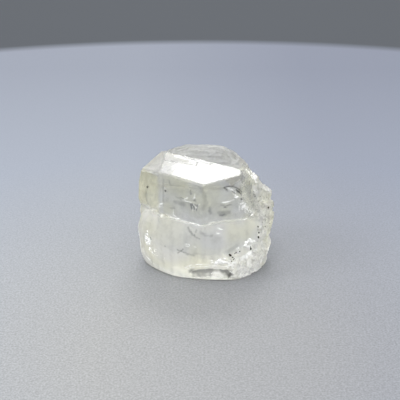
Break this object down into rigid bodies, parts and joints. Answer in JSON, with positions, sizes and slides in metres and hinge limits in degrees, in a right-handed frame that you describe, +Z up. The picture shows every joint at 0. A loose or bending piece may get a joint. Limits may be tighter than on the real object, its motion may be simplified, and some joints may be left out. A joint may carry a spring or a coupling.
{
  "type": "topaz crystal",
  "caption": "Clear, faintly yellow topaz crystal: a faceted block with a flat bright top grown over a rounded, partly broken lower lobe that it stands on.",
  "frame": {"origin": "middle of the flat foot, level with the surface the crystal stands on", "axes": "+X along the width, towards the broken right end; +Y towards the rounded back, away from the prism faces; +Z up"},
  "size_m": [0.0272, 0.021, 0.0229],
  "materials": {
    "clear_topaz": "clear, smooth crystal faces with rough broken places"
  },
  "bodies": {
    "root": {"crystal": "clear_topaz"}
  },
  "joints": []
}
